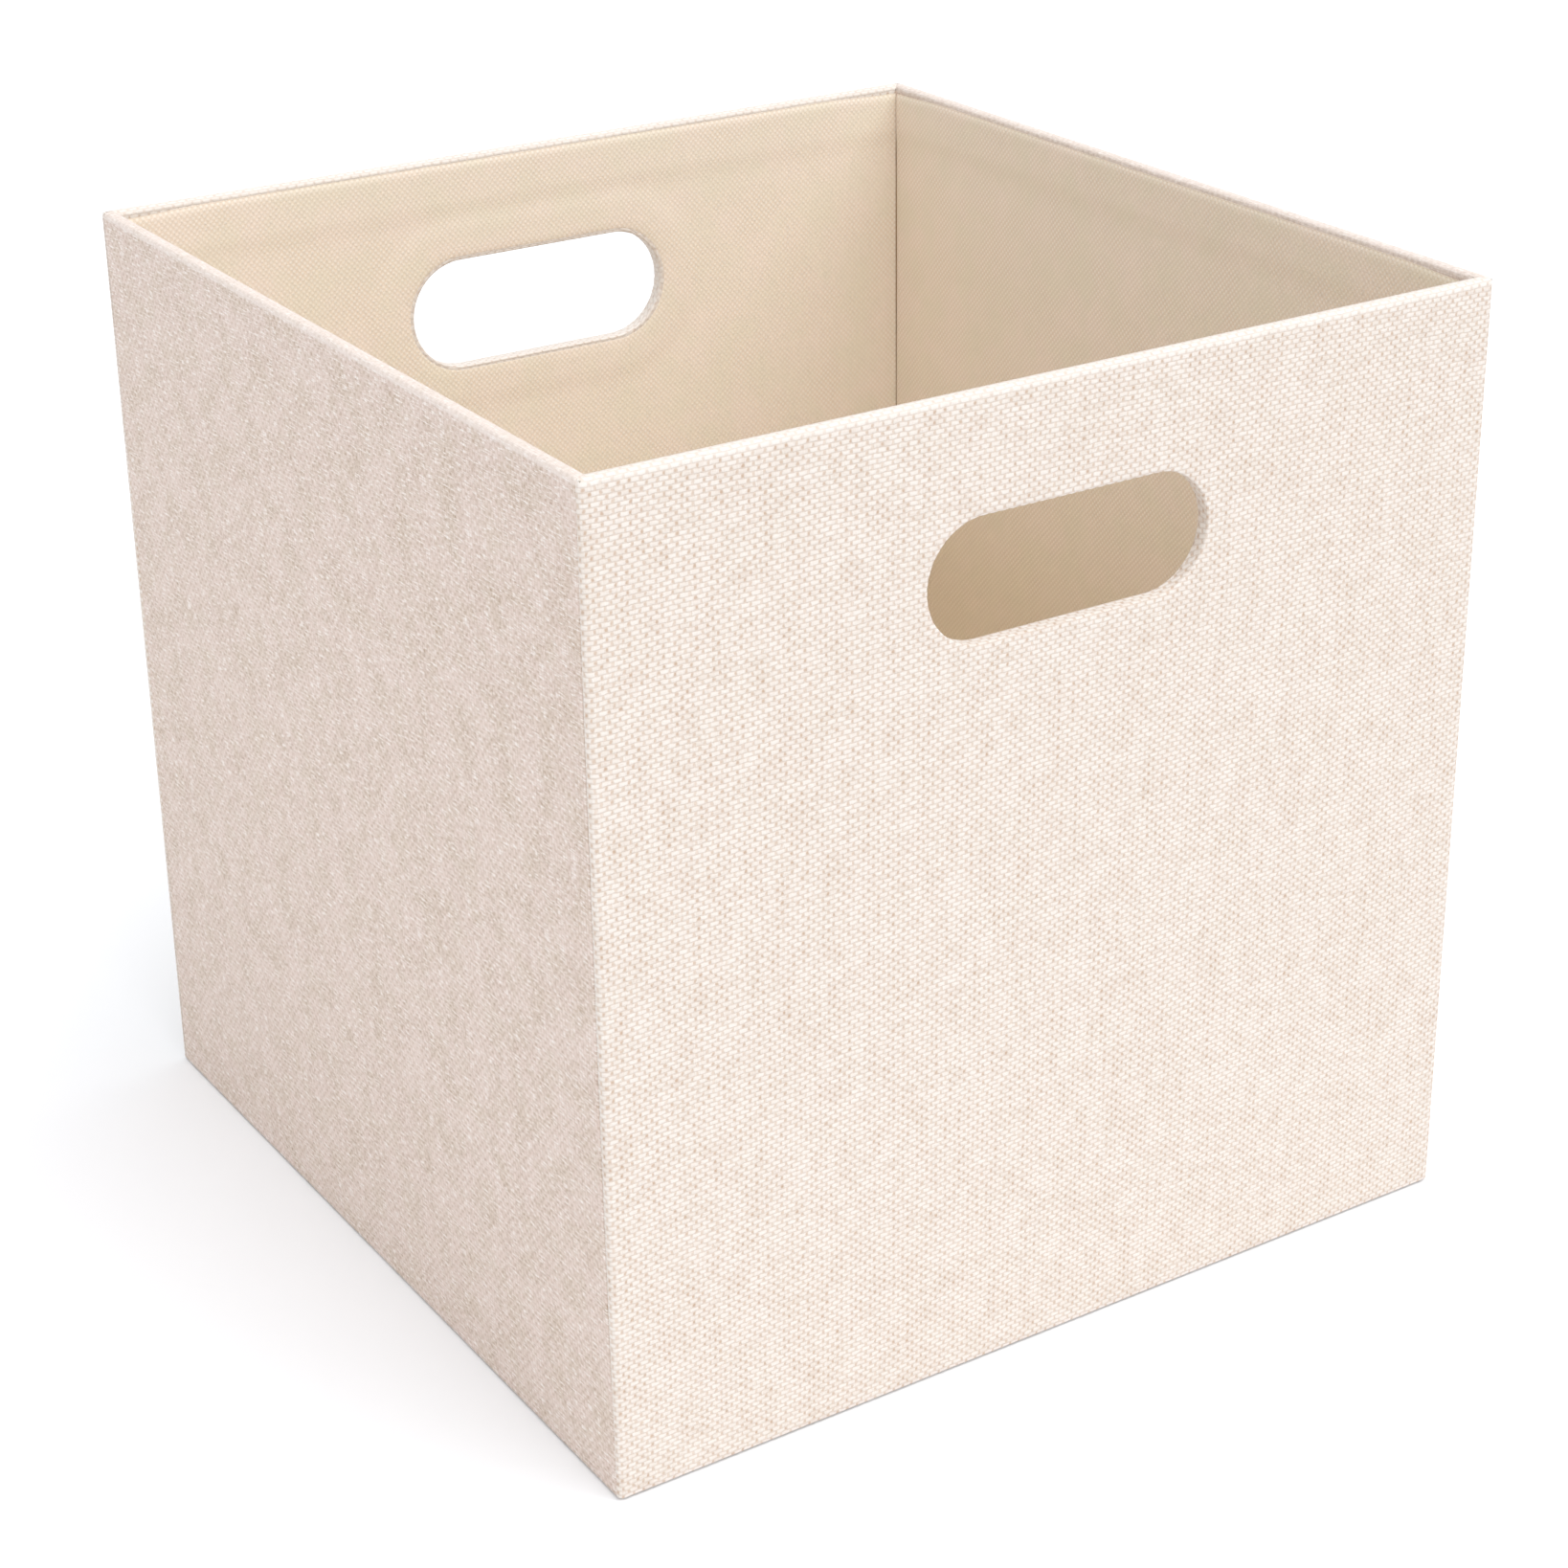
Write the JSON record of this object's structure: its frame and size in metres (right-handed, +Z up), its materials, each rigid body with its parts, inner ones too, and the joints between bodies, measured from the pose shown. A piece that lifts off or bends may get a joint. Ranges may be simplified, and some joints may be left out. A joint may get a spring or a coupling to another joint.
{
  "type": "fabric storage bin",
  "caption": "Open cube storage bin: cloth-covered rigid boards with a lining, and a full-round hand slot in the front and back walls.",
  "frame": {"origin": "middle of the underside, on the surface that the bin stands on", "axes": "+Z up, +X to the right of someone who faces the front wall, -Y out of the front wall; the front and back walls (-Y and +Y) carry the hand slots"},
  "size_m": [0.33, 0.33, 0.33],
  "materials": {
    "outer_cloth": "matt, coarse plain weave with slubs",
    "lining_cloth": "matt, fine pressed dot texture",
    "greyboard": "matt, fibrous",
    "paper_tape": "matt kraft"
  },
  "bodies": {
    "root": {"front_board": "greyboard", "back_board": "greyboard", "left_board": "greyboard", "right_board": "greyboard", "base_board": "greyboard", "front_left_corner_tape": "paper_tape", "front_right_corner_tape": "paper_tape", "back_left_corner_tape": "paper_tape", "back_right_corner_tape": "paper_tape", "front_base_tape": "paper_tape", "back_base_tape": "paper_tape", "left_base_tape": "paper_tape", "right_base_tape": "paper_tape", "front_cover": "outer_cloth", "back_cover": "outer_cloth", "left_cover": "outer_cloth", "right_cover": "outer_cloth", "base_cover": "outer_cloth", "front_lining": "lining_cloth", "back_lining": "lining_cloth", "left_lining": "lining_cloth", "right_lining": "lining_cloth", "base_lining": "lining_cloth"}
  },
  "joints": []
}
